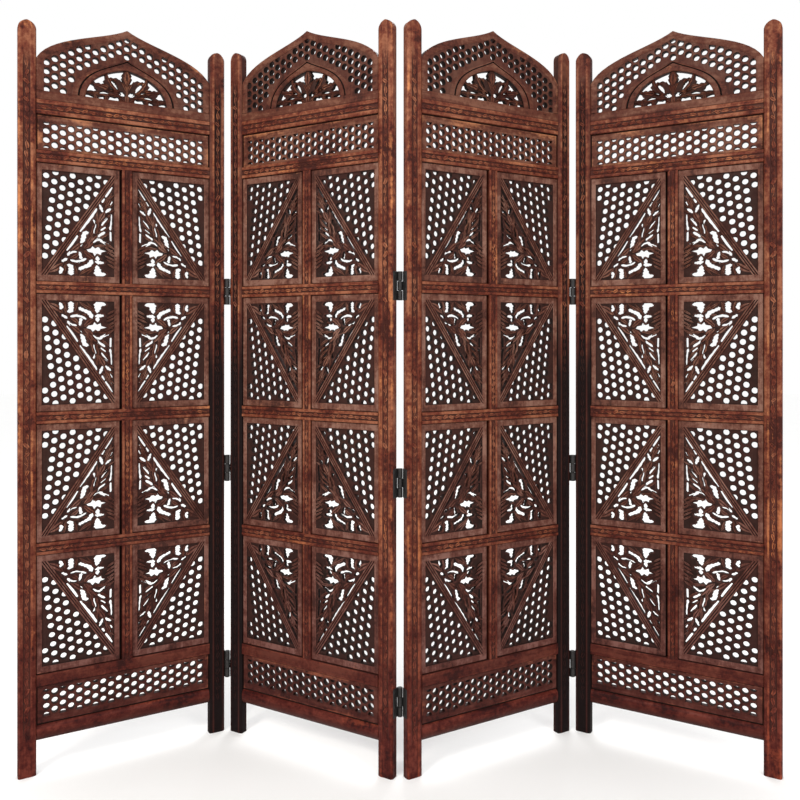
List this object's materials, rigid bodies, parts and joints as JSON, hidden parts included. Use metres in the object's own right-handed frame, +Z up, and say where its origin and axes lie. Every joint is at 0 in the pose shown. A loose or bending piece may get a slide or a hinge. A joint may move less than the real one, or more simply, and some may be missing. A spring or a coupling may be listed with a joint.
{
  "type": "folding screen",
  "caption": "Free-standing folding screen of carved and pierced wooden leaves under ogee arches, joined by black iron hinges in a zigzag.",
  "frame": {"origin": "on the floor, in the middle of the zigzag's footprint", "axes": "+X runs along the screen to the viewer's right, the carved fronts face -Y, +Z is up"},
  "size_m": [1.8534, 0.268, 1.846],
  "materials": {
    "frame_wood": "red-brown stained hardwood, waxed, with arrises worn to orange-tan",
    "tile_wood": "greyer brown carved wood, matt, dark in the cut edges",
    "arch_wood": "red-brown stained hardwood, satin",
    "black_iron": "blackened iron, satin"
  },
  "bodies": {
    "leaf_1": {"leaf_1_stile_left": "frame_wood", "leaf_1_stile_right": "frame_wood", "leaf_1_arch": "arch_wood", "leaf_1_upper_lattice": "tile_wood", "leaf_1_tier_1": "tile_wood", "leaf_1_tier_2": "tile_wood", "leaf_1_tier_3": "tile_wood", "leaf_1_tier_4": "tile_wood", "leaf_1_lower_lattice": "tile_wood", "leaf_1_bottom_rail": "frame_wood", "hinge_left_top_pin_half": "black_iron", "hinge_left_middle_pin_half": "black_iron", "hinge_left_bottom_pin_half": "black_iron"},
    "leaf_2": {"leaf_2_stile_left": "frame_wood", "leaf_2_stile_right": "frame_wood", "leaf_2_arch": "arch_wood", "leaf_2_upper_lattice": "tile_wood", "leaf_2_tier_1": "tile_wood", "leaf_2_tier_2": "tile_wood", "leaf_2_tier_3": "tile_wood", "leaf_2_tier_4": "tile_wood", "leaf_2_lower_lattice": "tile_wood", "leaf_2_bottom_rail": "frame_wood", "hinge_left_top_bored_half": "black_iron", "hinge_left_middle_bored_half": "black_iron", "hinge_left_bottom_bored_half": "black_iron", "hinge_centre_top_pin_half": "black_iron", "hinge_centre_middle_pin_half": "black_iron", "hinge_centre_bottom_pin_half": "black_iron"},
    "leaf_3": {"leaf_3_stile_left": "frame_wood", "leaf_3_stile_right": "frame_wood", "leaf_3_arch": "arch_wood", "leaf_3_upper_lattice": "tile_wood", "leaf_3_tier_1": "tile_wood", "leaf_3_tier_2": "tile_wood", "leaf_3_tier_3": "tile_wood", "leaf_3_tier_4": "tile_wood", "leaf_3_lower_lattice": "tile_wood", "leaf_3_bottom_rail": "frame_wood", "hinge_centre_top_bored_half": "black_iron", "hinge_centre_middle_bored_half": "black_iron", "hinge_centre_bottom_bored_half": "black_iron", "hinge_right_top_pin_half": "black_iron", "hinge_right_middle_pin_half": "black_iron", "hinge_right_bottom_pin_half": "black_iron"},
    "leaf_4": {"leaf_4_stile_left": "frame_wood", "leaf_4_stile_right": "frame_wood", "leaf_4_arch": "arch_wood", "leaf_4_upper_lattice": "tile_wood", "leaf_4_tier_1": "tile_wood", "leaf_4_tier_2": "tile_wood", "leaf_4_tier_3": "tile_wood", "leaf_4_tier_4": "tile_wood", "leaf_4_lower_lattice": "tile_wood", "leaf_4_bottom_rail": "frame_wood", "hinge_right_top_bored_half": "black_iron", "hinge_right_middle_bored_half": "black_iron", "hinge_right_bottom_bored_half": "black_iron"}
  },
  "joints": [
    {"name": "left_fold", "type": "hinge", "parent": "leaf_2", "child": "leaf_1", "pos_m": [-0.46762, 0.11677, 0], "axis": [0, 0, 1], "range_deg": [-59, 120]},
    {"name": "centre_fold", "type": "hinge", "parent": "leaf_2", "child": "leaf_3", "pos_m": [0, -0.11677, 0], "axis": [0, 0, 1], "range_deg": [-59, 120]},
    {"name": "right_fold", "type": "hinge", "parent": "leaf_3", "child": "leaf_4", "pos_m": [0.46762, 0.11677, 0], "axis": [0, 0, 1], "range_deg": [-120, 59]}
  ]
}
